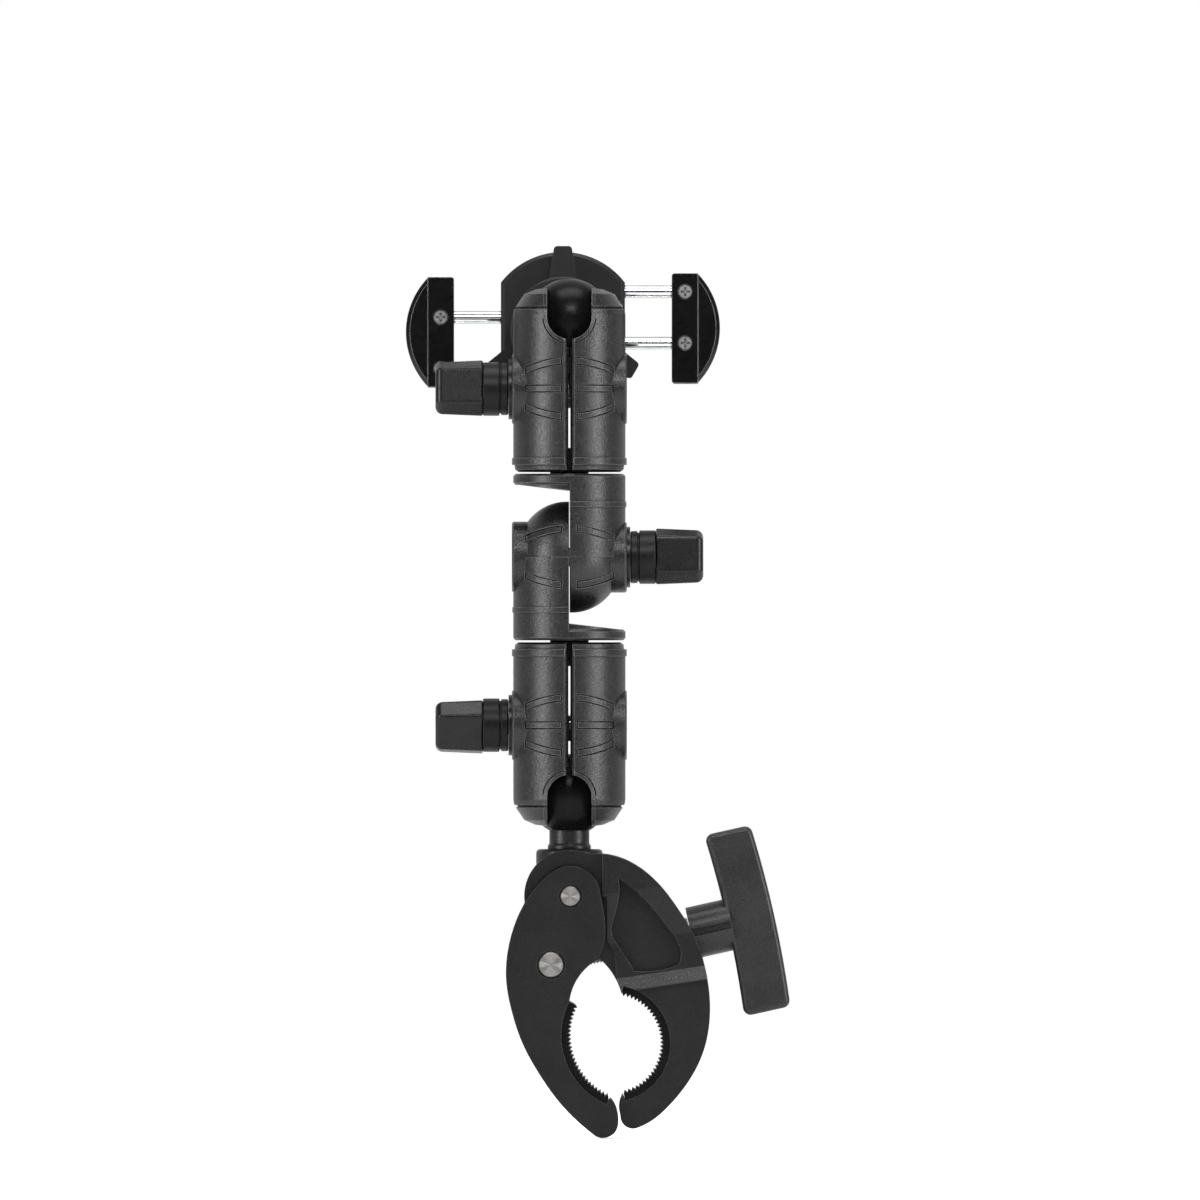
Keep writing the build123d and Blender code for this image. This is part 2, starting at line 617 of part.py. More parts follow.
def cradle_disc(low, high, inset=0.0):
    """A slice of the cradle's body: a disc with a flat on each side."""
    half = BODY_HALF_WIDTH - inset
    disc = rod_y(BODY_RADIUS - inset, low, high)
    return disc & block((-half, half), (-60, 90), (-60, 60))


def rod_holes():
    """The four sliding holes and the spring's room between them."""
    holes = Pos(0, ROD_Y, ROD_LEVELS[0]) * rod_x(ROD_RADIUS + 0.08, -30, 30)
    for level in ROD_LEVELS[1:]:
        holes += Pos(0, ROD_Y, level) * rod_x(ROD_RADIUS + 0.08, -30, 30)
    return holes + Pos(0, ROD_Y + 3.2, 0) * block((-16, 16), (-1.9, 1.9), (-1.9, 1.9))


def screw_spots():
    """The places of the four screws that close the cradle's body."""
    return [(x, z) for x in (-8, 8) for z in (-18, 18)]


def cradle_back():
    """The body's rear half with the split socket for the small ball."""
    body = cradle_disc(BODY_BACK, ROD_Y)
    body = chamfer(body.faces().sort_by(Axis.Y)[0].edges(), 1.0)
    body += rod_y(COLLET_RADIUS, NUT_BACK + 1, BODY_BACK + 1)
    body -= Pos(0, SMALL_BALL_Y, 0) * Sphere(SMALL_BALL_RADIUS + FIT)
    body -= rod_y(SMALL_BALL_RADIUS - 2.4, 0, SMALL_BALL_Y)
    for angle in (0, 45, 90, 135):
        body -= Rot(0, angle, 0) * block((-30, 30), (0, NUT_FRONT - 0.5), (-0.6, 0.6))
    for x, z in screw_spots():
        body -= Pos(x, 0, z) * rod_y(1.2, ROD_Y - 4, ROD_Y + 1)
    return in_cradle(body - rod_holes())


def cradle_front():
    """The body's front half, under the pad."""
    body = cradle_disc(ROD_Y, BODY_FRONT)
    body = chamfer(body.faces().sort_by(Axis.Y)[-1].edges(), 0.8)
    for x, z in screw_spots():
        body -= Pos(x, 0, z) * rod_y(1.3, ROD_Y - 1, BODY_FRONT)
        body -= Pos(x, 0, z) * rod_y(2.4, BODY_FRONT - 2, BODY_FRONT + 1)
    return in_cradle(body - rod_holes())


def body_screws():
    """The four screws that hold the body's halves together."""
    screws = []
    for x, z in screw_spots():
        shank = rod_y(1.2, ROD_Y - 4, BODY_FRONT - 1.5)
        head = rod_y(2.3, BODY_FRONT - 2, BODY_FRONT - 0.3)
        cross = block((-1.4, 1.4), (BODY_FRONT - 1, BODY_FRONT), (-0.3, 0.3))
        cross += block((-0.3, 0.3), (BODY_FRONT - 1, BODY_FRONT), (-1.4, 1.4))
        screws.append(in_cradle(Pos(x, 0, z) * (shank + head - cross)))
    return Compound(children=screws)


def front_pad():
    """The rubber pad behind the phone."""
    pad = cradle_disc(BODY_FRONT, PHONE_Y, 1.5)
    return in_cradle(fillet(pad.faces().sort_by(Axis.Y)[-1].edges(), 0.6))


def ring_nut():
    """The three-winged nut that squeezes the socket on the small ball."""
    ring = rod_y(16.4, NUT_BACK, NUT_FRONT)
    for i in range(3):
        wing = block((12, 26), (NUT_BACK + 0.8, NUT_FRONT - 0.8), (-4.9, 4.9))
        trim = [(12, -4.9), (26, -2.7), (26, 2.7), (12, 4.9)]
        wing &= plate([Polyline(*trim, close=True)], 0, 60)
        wing = fillet(wing.edges().filter_by(Axis.Y).group_by(Axis.X)[-1], 1.2)
        ring += Rot(0, -(90 + 120 * i), 0) * wing
    ring = chamfer(ring.faces().sort_by(Axis.Y)[0].edges(), 0.5)
    return in_cradle(ring - rod_y(COLLET_RADIUS + FIT, 0, 60))


def jaw_rod(level):
    """A slide rod of the right-hand jaw at one of its two levels."""
    start = BODY_HALF_WIDTH - ROD_INSIDE
    rod = rod_x(ROD_RADIUS, start, PHONE_WIDTH / 2 + 2.0)
    return Pos(0, ROD_Y, level) * chamfer(rod.edges(), 0.4)


def jaw():
    """The right-hand jaw: a back bar, a wall beside the phone and a lip over its edge."""
    inside = PHONE_WIDTH / 2
    bar_in, bar_out = inside - 5.3, inside + 2.9
    low = JAW_SHIFT - JAW_HEIGHT / 2
    high = JAW_SHIFT + JAW_HEIGHT / 2
    body = block((bar_in, bar_out), (JAW_BACK, PHONE_Y - 0.8), (low, high))
    body += block((inside + 1.4, bar_out), (JAW_BACK, LIP_FRONT), (low, high))
    body += block((inside - LIP_REACH, bar_out), (LIP_BACK, LIP_FRONT), (low, high))
    body = fillet(body.edges().filter_by(Axis.Y).group_by(Axis.X)[0], 0.9)
    arc = ThreePointArc((bar_out, low + 0.2), (bar_out + JAW_BULGE, JAW_SHIFT), (bar_out, high - 0.2))
    bulge = plate([arc, Line((bar_out, high - 0.2), (bar_out, low + 0.2))], JAW_BACK + 0.6, LIP_FRONT - 2)
    body += chamfer(bulge.faces().sort_by(Axis.Y)[0].edges().filter_by(GeomType.CIRCLE), 1.2)
    for i in (0, 2):
        body -= Pos(0, ROD_Y, ROD_LEVELS[i]) * rod_x(ROD_RADIUS, 0, inside + 2.0)
        body -= Pos(inside - 1.1, 0, ROD_LEVELS[i]) * rod_y(2.15, 0, JAW_BACK + 1.2)
    return body


def jaw_pad():
    """The rubber strip between a jaw's wall and the phone."""
    inside = PHONE_WIDTH / 2
    high = JAW_HEIGHT / 2 - 2
    strip = block((inside, inside + 1.4), (PHONE_Y, LIP_BACK), (JAW_SHIFT - high, JAW_SHIFT + high))
    for i in range(9):
        groove = block((inside - 1, inside + 0.5), (0, 90), (-0.4, 0.4))
        strip -= Pos(0, 0, JAW_SHIFT + (i - 4) * 3.2) * groove
    return strip


def jaw_screws():
    """The two cross-head screws on a jaw's back, one over each rod."""
    screws = []
    for i in (0, 2):
        head = rod_y(2.0, JAW_BACK + 0.2, JAW_BACK + 1.2)
        head -= block((-1.4, 1.4), (0, JAW_BACK + 0.8), (-0.35, 0.35))
        head -= block((-0.35, 0.35), (0, JAW_BACK + 0.8), (-1.4, 1.4))
        screws.append(Pos(PHONE_WIDTH / 2 - 1.1, 0, ROD_LEVELS[i]) * head)
    return Compound(children=screws)


def on_left(solid):
    """The same piece turned half a turn about the cradle's axis, for the left-hand jaw."""
    return Rot(0, 180, 0) * solid


def return_spring():
    """The spring that draws the jaws together, in its room in the body."""
    return in_cradle(Pos(0, ROD_Y + 3.2, 0) * coil(1.3, 0.35, 30, 14))


def build():
    """Every node of the mount by name."""
    lower = Pos(POST_X, 0, LOWER_BALL_Z)
    upper = Pos(POST_X, 0, UPPER_BALL_Z) * Rot(180, 0, 0)
    lower_axis = Pos(POST_X, 0, LOWER_BALL_Z + KNOB_OFFSET)
    upper_axis = Pos(POST_X, 0, UPPER_BALL_Z - KNOB_OFFSET)
    elbow_axis = Pos(POST_X, 0, ELBOW_Z) * Rot(0, 0, 180)
    nodes = {
        "clamp_frame": clamp_frame(),
        "moving_jaw": moving_jaw(),
        "fixed_jaw_pad": toothed_pad((0, 0), BAR_RADIUS, FIXED_PAD_ENDS, ARM_HALF_DEPTH - 0.3),
        "moving_jaw_pad": toothed_pad(MOVING_PAD_CENTRE, MOVING_PAD_RADIUS, MOVING_PAD_ENDS,
                                      CLAW_HALF_DEPTH - 0.5),
        "jaw_pivot_pin": pivot_pin(),
        "barrel_nut": barrel_nut(),
        "clamp_screw": clamp_screw(),
        "thrust_washer": thrust_washer(),
        "t_handle": t_handle(),
        "lower_ball_stud": lower_ball_stud(),
        "lower_ball_cover": lower * ball_cover(STEM_RADIUS, Rot(180, 0, 0)),
        "lower_elbow": lower_elbow(),
        "upper_elbow": upper_elbow(),
        "elbow_bolt": elbow_axis * bolt(BOSS_FACE, -1),
        "upper_ball_cover": Pos(POST_X, 0, UPPER_BALL_Z) * ball_cover(ADAPTER_STEM, adapter_direction()),
        "ball_adapter": ball_adapter(),
        "ring_nut": ring_nut(),
        "cradle_back": cradle_back(),
        "cradle_front": cradle_front(),
        "body_screws": body_screws(),
        "front_pad": front_pad(),
        "return_spring": return_spring(),
    }
    for name, place, axis in (("lower", lower, lower_axis), ("upper", upper, upper_axis)):
        nodes[name + "_left_shell"] = place * arm_shell(-1)
        nodes[name + "_right_shell"] = place * arm_shell(1)
        nodes[name + "_spring"] = place * arm_spring()
        nodes[name + "_bolt"] = axis * bolt(BOSS_FACE, -1)
    for name, axis, turn in (("lower", lower_axis, 201), ("upper", upper_axis, 170), ("elbow", elbow_axis, 8)):
        nodes[name + "_knob"] = axis * knob_head(turn)
        nodes[name + "_knob_collar"] = axis * knob_collar()
        nodes[name + "_knob_insert"] = axis * knob_insert()
        nodes[name + "_knob_washer"] = axis * knob_washer()
    nodes["right_upper_rod"] = in_cradle(jaw_rod(ROD_LEVELS[0]))
    nodes["right_lower_rod"] = in_cradle(jaw_rod(ROD_LEVELS[2]))
    nodes["left_lower_rod"] = in_cradle(on_left(jaw_rod(ROD_LEVELS[0])))
    nodes["left_upper_rod"] = in_cradle(on_left(jaw_rod(ROD_LEVELS[2])))
    for name, made in (("jaw", jaw), ("jaw_grip", jaw_pad), ("jaw_screws", jaw_screws)):
        nodes["right_" + name] = in_cradle(made())
        nodes["left_" + name] = in_cradle(on_left(made()))
    return nodes


def main():
    """Writes each node to its own STEP file."""
    os.makedirs("parts", exist_ok=True)
    for name, solid in build().items():
        export_step(solid, f"parts/{name}.step")


main()
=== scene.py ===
import json
import math

import bpy
from mathutils import Matrix, Vector


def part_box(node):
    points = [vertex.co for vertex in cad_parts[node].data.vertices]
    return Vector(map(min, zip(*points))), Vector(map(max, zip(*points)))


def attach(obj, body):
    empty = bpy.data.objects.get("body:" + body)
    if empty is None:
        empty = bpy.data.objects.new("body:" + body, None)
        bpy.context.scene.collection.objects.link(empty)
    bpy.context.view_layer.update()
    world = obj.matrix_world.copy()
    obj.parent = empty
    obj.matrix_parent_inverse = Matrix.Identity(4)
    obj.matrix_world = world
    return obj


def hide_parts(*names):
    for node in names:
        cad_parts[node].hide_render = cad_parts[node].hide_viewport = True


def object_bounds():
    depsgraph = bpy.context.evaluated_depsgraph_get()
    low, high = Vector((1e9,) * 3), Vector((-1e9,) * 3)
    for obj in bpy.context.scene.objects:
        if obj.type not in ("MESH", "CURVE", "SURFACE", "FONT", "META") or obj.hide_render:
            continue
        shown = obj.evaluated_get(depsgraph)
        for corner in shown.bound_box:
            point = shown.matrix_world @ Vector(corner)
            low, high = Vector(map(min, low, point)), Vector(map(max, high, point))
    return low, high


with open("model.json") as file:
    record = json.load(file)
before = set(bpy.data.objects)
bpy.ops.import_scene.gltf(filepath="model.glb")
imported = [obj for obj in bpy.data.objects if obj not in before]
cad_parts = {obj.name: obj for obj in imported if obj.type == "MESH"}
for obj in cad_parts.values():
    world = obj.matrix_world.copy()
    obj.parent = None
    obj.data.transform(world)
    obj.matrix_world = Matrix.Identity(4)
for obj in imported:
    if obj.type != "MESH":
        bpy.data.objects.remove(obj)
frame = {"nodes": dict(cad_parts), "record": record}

CAD_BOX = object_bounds()
MM = 0.001

# Camera: level with the elbow's lower disc, aimed a little above it from far away
CAMERA_PLACE = Vector((-16.0, -8000.0, 122.0)) * MM
CAMERA_AIM = Vector((-3.7, 0.0, 137.3)) * MM
PICTURE_WIDTH = 372.0 * MM
SENSOR_MM = 36.0

# Clamp screw: M6 x 1, from the cross nut up into the handle
SCREW_START = Vector((-18.9, 0.0, 24.4)) * MM
SCREW_SLOPE = 12.5
SCREW_TIP = -12.5
SCREW_END = 62.9
SCREW_RADIUS = 3.0
SCREW_ROOT = 2.42
SCREW_PITCH = 1.0
SCREW_CHAMFER = 1.0
ROUND_STEPS = 40
STEPS_PER_PITCH = 8
CREST_SHARE = 0.12
FLANK_SHARE = 0.76
CHAMFER_DEPTH = 0.8

# Studio
FLOOR_DROP = 0.5 * MM
FLOOR_HALF = 40.0
WHITE = (1.0, 1.0, 1.0, 1.0)
FLOOR_GLOW = 0.72
FLOOR_FILL = 0.1
ROOM_GLOW = 0.02
BACKDROP_GLOW = 0.8
BACKDROP_START = -0.3
BACKDROP_END = 0.8

# Lights, in metres and watts
LIT_POINT = (-0.015, 0.0, 0.12)
LIGHT_REACH = 0.9
SIDE_TURN = math.radians(58)
SIDE_HEIGHT = 0.28
SIDE_SIZE = (0.24, 0.8)
SIDE_WATTS = 7.5
FRONT_RISE = math.radians(38)
FRONT_SHIFT = 0.05
FRONT_BASE = 0.1
FRONT_SIZE = (0.3, 0.16)
FRONT_WATTS = 3.0
TOP_PLACE = (0.0, -0.1, 1.0)
TOP_SIZE = (0.7, 0.4)
TOP_WATTS = 5.0


# ---------------------------------------------------------------- materials


class Shading:
    """A node material with short calls for the nodes that the surfaces share."""

    def __init__(self, name):
        self.material = bpy.data.materials.new(name)
        self.material.use_nodes = True
        self.tree = self.material.node_tree
        self.shader = self.tree.nodes["Principled BSDF"]
        self.place = self.node("ShaderNodeTexCoord").outputs["Object"]

    def node(self, kind, **settings):
        """Adds a node and sets its properties and inputs by name."""
        made = self.tree.nodes.new(kind)
        for key, value in settings.items():
            if key in made.inputs:
                self.put(made.inputs[key], value)
            else:
                setattr(made, key, value)
        return made

    def put(self, socket, value):
        """Links an output to a socket, or sets the socket's own value."""
        if isinstance(value, bpy.types.NodeSocket):
            self.tree.links.new(value, socket)
        else:
            socket.default_value = value

    def noise(self, size, detail=3.0, stretch=None):
        """Noise whose features are about size metres across."""
        place = self.place
        if stretch:
            mapping = self.node("ShaderNodeMapping", Vector=place)
            mapping.inputs["Scale"].default_value = stretch
            place = mapping.outputs[0]
        made = self.node("ShaderNodeTexNoise", Vector=place, Scale=1.0 / size, Detail=detail)
        return made.outputs["Fac"]

    def cells(self, size):
        """A random value for each cell about size metres across."""
        made = self.node("ShaderNodeTexVoronoi", Vector=self.place, Scale=1.0 / size)
        split = self.node("ShaderNodeSeparateColor", Color=made.outputs["Color"])
        return split.outputs[0]

    def spread(self, value, low, high, start=0.3, end=0.7):
        """Maps a value from start..end to low..high."""
        made = self.node("ShaderNodeMapRange")
        self.put(made.inputs["Value"], value)
        made.inputs["From Min"].default_value = start
        made.inputs["From Max"].default_value = end
        made.inputs["To Min"].default_value = low
        made.inputs["To Max"].default_value = high
        return made.outputs["Result"]

    def blend(self, factor, first, second):
        """Mixes two colours by a factor."""
        made = self.node("ShaderNodeMix", data_type="RGBA")
        self.put(made.inputs[0], factor)
        self.put(made.inputs[6], first)
        self.put(made.inputs[7], second)
        return made.outputs[2]

    def edges(self, width):
        """1 on outer edges within width metres, 0 elsewhere: the mask for worn edges lightened as a
        painted highlight.
        """
        round_normal = self.node("ShaderNodeBevel", samples=4, Radius=width).outputs[0]
        flat_normal = self.node("ShaderNodeNewGeometry").outputs["Normal"]
        dot = self.node("ShaderNodeVectorMath", operation="DOT_PRODUCT")
        self.put(dot.inputs[0], round_normal)
        self.put(dot.inputs[1], flat_normal)
        return self.spread(dot.outputs["Value"], 1.0, 0.0, 0.75, 0.99)

    def corners(self, width):
        """1 in inner corners within width metres, 0 in the open: the mask for painted corner shade.
        """
        near = self.node("ShaderNodeAmbientOcclusion", samples=6, Distance=width)
        return self.spread(near.outputs["AO"], 1.0, 0.0, 0.45, 0.95)

    def relief(self, layers, edge=0.0):
        """Bumps stacked from (height, metres) pairs, with edges rounded by edge metres."""
        normal = None
        if edge:
            normal = self.node("ShaderNodeBevel", samples=4, Radius=edge).outputs[0]
        for height, depth in layers:
            bump = self.node("ShaderNodeBump", Height=height, Distance=depth, Strength=1.0)
            if normal is not None:
                self.put(bump.inputs["Normal"], normal)
            normal = bump.outputs[0]
        self.put(self.shader.inputs["Normal"], normal)

    def finish(self, color, roughness, **numbers):
        """Links colour and roughness and sets the shader's other sockets."""
        self.put(self.shader.inputs["Base Color"], color)
        self.put(self.shader.inputs["Roughness"], roughness)
        for key, value in numbers.items():
            self.shader.inputs[key.replace("_", " ")].default_value = value
        return self.material


def grey(value):
    """A neutral grey."""
    return (value, value, value, 1.0)


def glass_filled_nylon():
    """Satin black nylon: grain, fibre flecks, worn edges with painted highlight, painted corner
    shade.
    """
    s = Shading("glass_filled_nylon")
    flecks = s.cells(0.3 * MM)
    cloud = s.noise(8 * MM, 2)
    grain = s.noise(0.55 * MM, 3)
    painted_corner_shade = s.corners(0.8 * MM)
    base = s.blend(s.spread(cloud, 0, 1), grey(0.003), grey(0.006))
    base = s.blend(s.spread(flecks, 0, 0.5, 0.9, 1.0), base, grey(0.06))
    # Painted highlight: edges lightened towards grey 0.2, partly standing for wear.
    base = s.blend(s.spread(s.edges(0.4 * MM), 0, 0.8, 0, 1), base, grey(0.2))
    # Painted shade: grooves and inner corners darkened, and their reflection turned down.
    base = s.blend(painted_corner_shade, base, grey(0.001))
    s.put(s.shader.inputs["Specular IOR Level"], s.spread(painted_corner_shade, 0.5, 0.02, 0.0, 0.8))
    rough = s.spread(grain, 0.24, 0.4)
    s.relief([(grain, 0.12 * MM), (flecks, 0.02 * MM)], edge=0.3 * MM)
    return s.finish(base, rough)


def powder_coat(name, dark, light, roughness, sparkle=0.0):
    """Powder coat over a casting: fine orange peel, worn edges with painted highlight, painted
    corner shade.
    """
    s = Shading(name)
    cloud = s.noise(12 * MM, 2)
    peel = s.noise(0.35 * MM, 2)
    specks = s.cells(0.3 * MM)
    base = s.blend(s.spread(cloud, 0, 1), grey(dark), grey(light))
    base = s.blend(s.spread(specks, 0, 0.25 + sparkle, 0.88, 1.0), base, grey(light * 4))
    # Painted highlight: edges lightened towards grey 0.09, partly standing for wear.
    base = s.blend(s.spread(s.edges(0.4 * MM), 0, 0.6, 0, 1), base, grey(0.09))
    # Painted shade: inner corners darkened.
    base = s.blend(s.corners(1.0 * MM), base, grey(0.002))
    rough = s.spread(peel, roughness - 0.08, roughness + 0.08)
    s.relief([(peel, 0.03 * MM), (specks, 0.012 * MM)], edge=0.4 * MM)
    return s.finish(base, rough, Specular_IOR_Level=0.32)


def plastic(
    name, dark, light, roughness, peel_size, peel_depth, edge=0.25, edge_wear_and_highlight=0.05, shine=0.35
):
    """Moulded black plastic: worn edges with painted highlight, and painted shade in its corners.
    """
    s = Shading(name)
    cloud = s.noise(7 * MM, 2)
    peel = s.noise(peel_size * MM, 3)
    base = s.blend(s.spread(cloud, 0, 1), grey(dark), grey(light))
    # Painted highlight: edges lightened, partly standing for wear.
    base = s.blend(s.spread(s.edges(edge * MM), 0, 0.7, 0, 1), base, grey(edge_wear_and_highlight))
    # Painted shade: inner corners darkened.
    base = s.blend(s.corners(0.7 * MM), base, grey(0.001))
    rough = s.spread(peel, roughness * 0.8, roughness * 1.2)
    s.relief([(peel, peel_depth * MM)], edge=edge * MM)
    return s.finish(base, rough, Specular_IOR_Level=shine)


def rubber():
    """Matt black rubber with faint dust in its pores."""
    s = Shading("black_rubber")
    pores = s.noise(0.4 * MM, 4)
    cloud = s.noise(5 * MM, 3)
    base = s.blend(s.spread(cloud, 0, 1), grey(0.003), grey(0.005))
    base = s.blend(s.spread(pores, 0, 0.4, 0.55, 0.75), base, grey(0.012))
    rough = s.spread(pores, 0.22, 0.34)
    s.relief([(pores, 0.03 * MM)], edge=0.2 * MM)
    return s.finish(base, rough, Specular_IOR_Level=0.1)


def metal(name, color, roughness, streak, depth, stretch=None):
    """Bare metal with fine machining marks."""
    s = Shading(name)
    marks = s.noise(streak * MM, 3, stretch)
    cloud = s.noise(4 * MM, 2)
    darker = tuple(c * 0.82 for c in color[:3]) + (1.0,)
    base = s.blend(s.spread(cloud, 0, 1), darker, color)
    # Painted shade: inner corners of the metal darkened.
    base = s.blend(s.corners(0.6 * MM), base, grey(0.03))
    rough = s.spread(marks, roughness * 0.7, roughness * 1.4)
    s.relief([(marks, depth * MM)])
    return s.finish(base, rough, Metallic=1.0)


def turned_face(name):
    """Steel turned on a lathe about the node's own Y axis: fine rings and a drawn-out shine."""
    low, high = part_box(name)
    middle = (Vector(low) + Vector(high)) / 2
    s = Shading("turned_" + name)
    shifted = s.node("ShaderNodeMapping", Vector=s.place)
    shifted.inputs["Location"].default_value = -middle
    flat = s.node("ShaderNodeVectorMath", operation="MULTIPLY")
    s.put(flat.inputs[0], shifted.outputs[0])
    flat.inputs[1].default_value = (1.0, 0.0, 1.0)
    length = s.node("ShaderNodeVectorMath", operation="LENGTH")
    s.put(length.inputs[0], flat.outputs[0])
    rings = s.node("ShaderNodeTexNoise", noise_dimensions="1D", Scale=1.0 / (0.12 * MM), Detail=3.0)
    s.put(rings.inputs["W"], length.outputs["Value"])
    marks = rings.outputs["Fac"]
    cloud = s.noise(3 * MM, 2)
    base = s.blend(s.spread(cloud, 0, 1), (0.30, 0.295, 0.285, 1), (0.36, 0.355, 0.345, 1))
    base = s.blend(s.spread(marks, 0, 0.35, 0.5, 0.8), base, (0.16, 0.16, 0.155, 1))
    s.relief([(marks, 0.002 * MM)])
    tangent = s.node("ShaderNodeTangent", direction_type="RADIAL", axis="Y")
    s.put(s.shader.inputs["Tangent"], tangent.outputs[0])
    return s.finish(base, s.spread(marks, 0.32, 0.42), Metallic=1.0, Anisotropic=0.95)


MAKERS = {
    "nylon": glass_filled_nylon,
    "cast_body": lambda: powder_coat("cast_body_coat", 0.005, 0.008, 0.33),
    "handle_coat": lambda: powder_coat("handle_coat", 0.014, 0.022, 0.31),
    "knob_plastic": lambda: plastic("knob_plastic", 0.006, 0.010, 0.28, 0.6, 0.02, shine=0.24),
    "cradle_plastic": lambda: plastic("cradle_plastic", 0.003, 0.005, 0.5, 0.35, 0.03),
    # Jaws: edges lightened to grey 0.3, a painted highlight line along them.
    "jaw_plastic": lambda: plastic("jaw_plastic", 0.002, 0.004, 0.16, 1.5, 0.01, 0.5, 0.3),
    "rubber": rubber,
    "steel": lambda: metal("turned_steel", (0.62, 0.61, 0.60, 1), 0.3, 0.15, 0.004),
    "aluminium": lambda: metal("turned_aluminium", (0.66, 0.66, 0.67, 1), 0.3, 0.2, 0.004),
    "brass": lambda: metal("turned_brass", (0.72, 0.52, 0.24, 1), 0.3, 0.2, 0.004),
    "chrome_rod": lambda: metal(
        "chrome_rod", (0.82, 0.83, 0.85, 1), 0.08, 0.3, 0.001, stretch=(0.05, 1, 1)
    ),
    "spring_steel": lambda: metal("spring_wire", (0.45, 0.45, 0.46, 1), 0.28, 0.2, 0.003),
}
TURNED_FACES = ("jaw_pivot_pin", "barrel_nut")


def dress_nodes():
    """Gives each CAD node the material of its slot, and returns the materials by slot."""
    slots = {part["node"]: part["material_slot"] for part in frame["record"]["subparts"]}
    made = {slot: maker() for slot, maker in MAKERS.items()}
    collar = plastic("collar_plastic", 0.002, 0.004, 0.4, 0.5, 0.02, shine=0.2)
    for name, obj in frame["nodes"].items():
        if name in TURNED_FACES:
            material = turned_face(name)
        elif name.endswith("_collar"):
            material = collar
        else:
            material = made[slots[name]]
        obj.data.materials.clear()
        obj.data.materials.append(material)
    return made


# ---------------------------------------------------------------- clamp screw


def thread_radius(turns, along):
    """The screw's radius at a fraction of a turn and at a length along it in millimetres."""
    phase = (along / SCREW_PITCH - turns) % 1.0
    flank = abs(2 * phase - 1)
    depth = min(max((flank - CREST_SHARE) / FLANK_SHARE, 0.0), 1.0)
    radius = SCREW_RADIUS - (SCREW_RADIUS - SCREW_ROOT) * depth
    taper = min(along - SCREW_TIP, SCREW_END - along) / SCREW_CHAMFER
    return radius if taper >= 1 else min(radius, SCREW_RADIUS - CHAMFER_DEPTH * (1 - taper))


def threaded_screw(material):
    """The clamp screw with its helical thread, in place of the plain CAD bar."""
    rings = round((SCREW_END - SCREW_TIP) / SCREW_PITCH * STEPS_PER_PITCH)
    points, faces = [], []
    for ring in range(rings + 1):
        along = SCREW_TIP + (SCREW_END - SCREW_TIP) * ring / rings
        for step in range(ROUND_STEPS):
            turns = step / ROUND_STEPS
            radius = thread_radius(turns, along) * MM
            angle = math.tau * turns
            points.append((along * MM, radius * math.cos(angle), radius * math.sin(angle)))
    for ring in range(rings):
        for step in range(ROUND_STEPS):
            here, beside = ring * ROUND_STEPS + step, ring * ROUND_STEPS + (step + 1) % ROUND_STEPS
            faces.append((here, beside, beside + ROUND_STEPS, here + ROUND_STEPS))
    faces.append(tuple(reversed(range(ROUND_STEPS))))
    faces.append(tuple(range(rings * ROUND_STEPS, (rings + 1) * ROUND_STEPS)))
    mesh = bpy.data.meshes.new("threaded_clamp_screw")
    mesh.from_pydata(points, [], faces)
    slope = Matrix.Rotation(-math.radians(SCREW_SLOPE), 4, "Y")
    mesh.transform(Matrix.Translation(SCREW_START) @ slope)
    mesh.update()
    mesh.shade_smooth()
    mesh.materials.append(material)
    screw = bpy.data.objects.new("threaded_clamp_screw", mesh)
    bpy.context.collection.objects.link(screw)
    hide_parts("clamp_screw")
    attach(screw, "handle")


# ---------------------------------------------------------------- studio


def add_floor():
    """A wide pale floor just under the object: it is seen white but lights the object little."""
    low = CAD_BOX[0][2] - FLOOR_DROP
    half = FLOOR_HALF
    mesh = bpy.data.meshes.new("floor")
    corners = [(-half, -half, low), (half, -half, low), (half, half, low), (-half, half, low)]
    mesh.from_pydata(corners, [], [(0, 1, 2, 3)])
    floor = bpy.data.objects.new("floor", mesh)
    bpy.context.collection.objects.link(floor)
    s = Shading("pale_floor")
    cloud = s.noise(60 * MM, 2)
    s.finish(s.blend(s.spread(cloud, 0, 1), grey(0.86), grey(0.9)), s.spread(cloud, 0.7, 0.8))
    s.shader.inputs["Emission Color"].default_value = WHITE
    seen = s.node("ShaderNodeLightPath").outputs["Is Camera Ray"]
    glow = s.spread(seen, FLOOR_FILL, FLOOR_GLOW, 0.0, 1.0)
    s.put(s.shader.inputs["Emission Strength"], glow)
    mesh.materials.append(s.material)


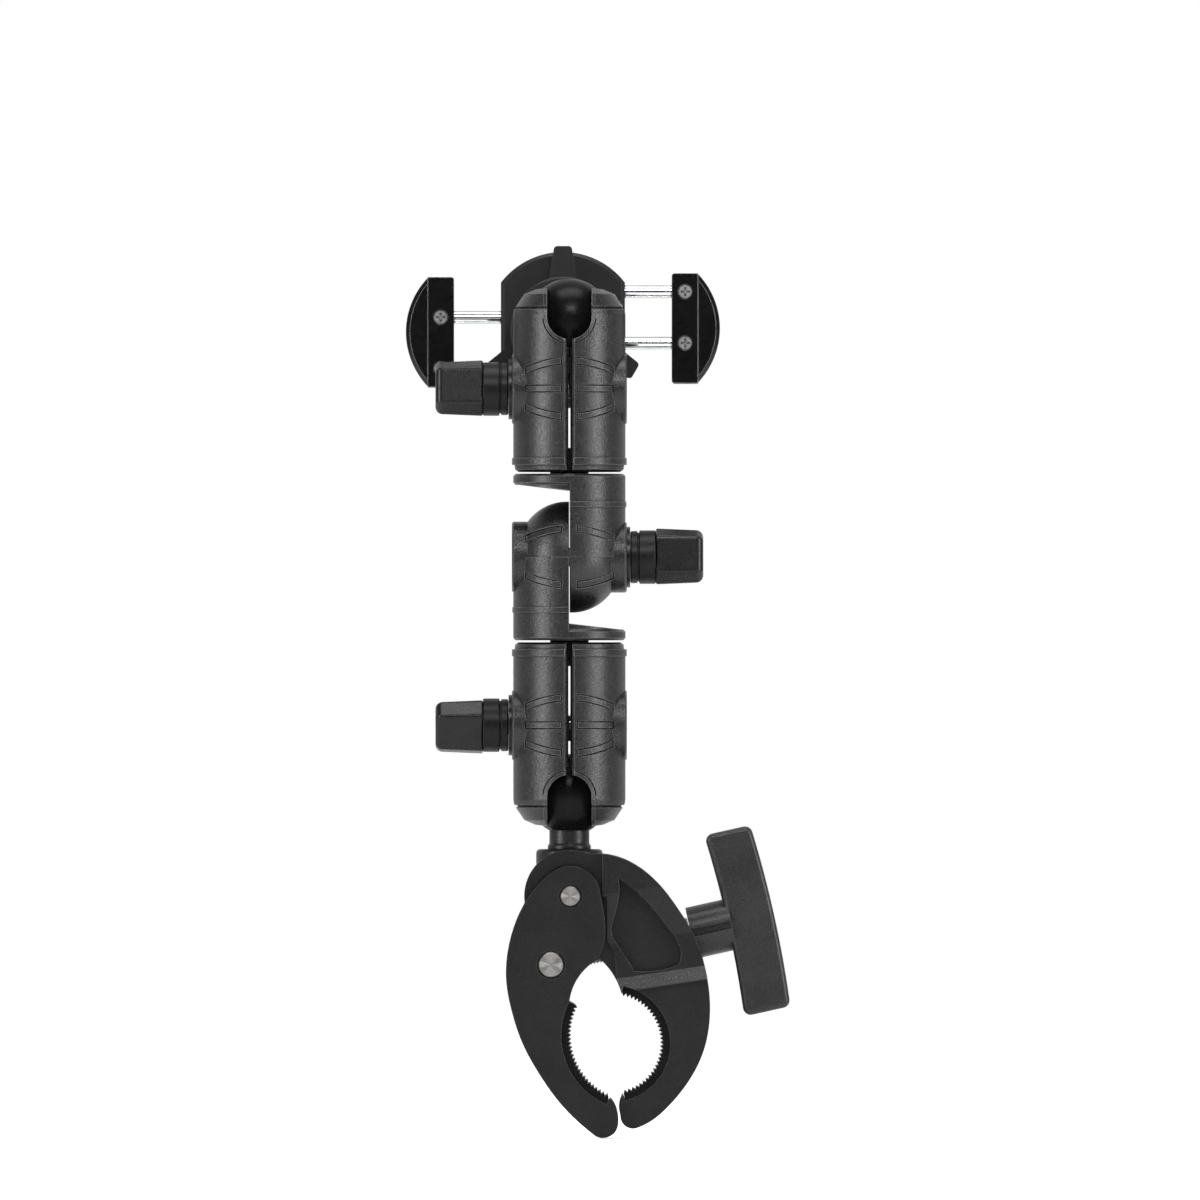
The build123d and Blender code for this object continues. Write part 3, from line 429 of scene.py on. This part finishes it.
def add_world():
    """A studio surround: white behind the object, dim on the side it is looked at from."""
    world = bpy.data.worlds.new("studio")
    world.use_nodes = True
    tree = world.node_tree
    nodes, links = tree.nodes, tree.links
    toward = nodes.new("ShaderNodeSeparateXYZ")
    links.new(nodes.new("ShaderNodeTexCoord").outputs["Generated"], toward.inputs[0])
    glow = nodes.new("ShaderNodeMapRange")
    glow.interpolation_type = "SMOOTHSTEP"
    links.new(toward.outputs["Y"], glow.inputs["Value"])
    glow.inputs["From Min"].default_value = BACKDROP_START
    glow.inputs["From Max"].default_value = BACKDROP_END
    glow.inputs["To Min"].default_value = ROOM_GLOW
    glow.inputs["To Max"].default_value = BACKDROP_GLOW
    light = nodes["Background"]
    light.inputs["Color"].default_value = WHITE
    links.new(glow.outputs["Result"], light.inputs["Strength"])
    seen = nodes.new("ShaderNodeBackground")
    seen.inputs["Color"].default_value = WHITE
    seen.inputs["Strength"].default_value = 1.0
    mix = nodes.new("ShaderNodeMixShader")
    links.new(nodes.new("ShaderNodeLightPath").outputs["Is Camera Ray"], mix.inputs[0])
    links.new(light.outputs[0], mix.inputs[1])
    links.new(seen.outputs[0], mix.inputs[2])
    links.new(mix.outputs[0], nodes["World Output"].inputs["Surface"])
    bpy.context.scene.world = world


def aimed(place, target):
    """The rotation of something at a place that looks at a target, upright."""
    return (Vector(target) - Vector(place)).to_track_quat("-Z", "Y").to_euler()


def add_softbox(name, place, target, size, watts):
    """A rectangular soft light at a place in metres, aimed at a target."""
    data = bpy.data.lights.new(name, "AREA")
    data.shape = "RECTANGLE"
    data.size, data.size_y = size
    data.energy = watts
    light = bpy.data.objects.new(name, data)
    light.location = place
    light.rotation_euler = aimed(place, target)
    bpy.context.collection.objects.link(light)


def add_lights():
    """Two upright softboxes beside the camera's line, one above it and one overhead."""
    across = LIGHT_REACH * math.sin(SIDE_TURN)
    toward = -LIGHT_REACH * math.cos(SIDE_TURN)
    for side in (-1, 1):
        place = (side * across, toward, SIDE_HEIGHT)
        add_softbox(f"softbox_{side}", place, LIT_POINT, SIDE_SIZE, SIDE_WATTS)
    toward = -LIGHT_REACH * math.cos(FRONT_RISE)
    height = FRONT_BASE + LIGHT_REACH * math.sin(FRONT_RISE)
    place = (FRONT_SHIFT, toward, height)
    add_softbox("above_camera", place, LIT_POINT, FRONT_SIZE, FRONT_WATTS)
    add_softbox("overhead", TOP_PLACE, LIT_POINT, TOP_SIZE, TOP_WATTS)


def add_camera():
    """The camera, square to the claw's face, with a very long lens."""
    data = bpy.data.cameras.new("camera")
    data.sensor_width = SENSOR_MM
    data.lens = SENSOR_MM * (CAMERA_AIM - CAMERA_PLACE).length / PICTURE_WIDTH
    camera = bpy.data.objects.new("camera", data)
    camera.location = CAMERA_PLACE
    camera.rotation_euler = aimed(CAMERA_PLACE, CAMERA_AIM)
    bpy.context.collection.objects.link(camera)
    bpy.context.scene.camera = camera


materials = dress_nodes()
threaded_screw(materials["steel"])
add_floor()
add_world()
add_lights()
add_camera()
bpy.context.scene.view_settings.view_transform = "Standard"
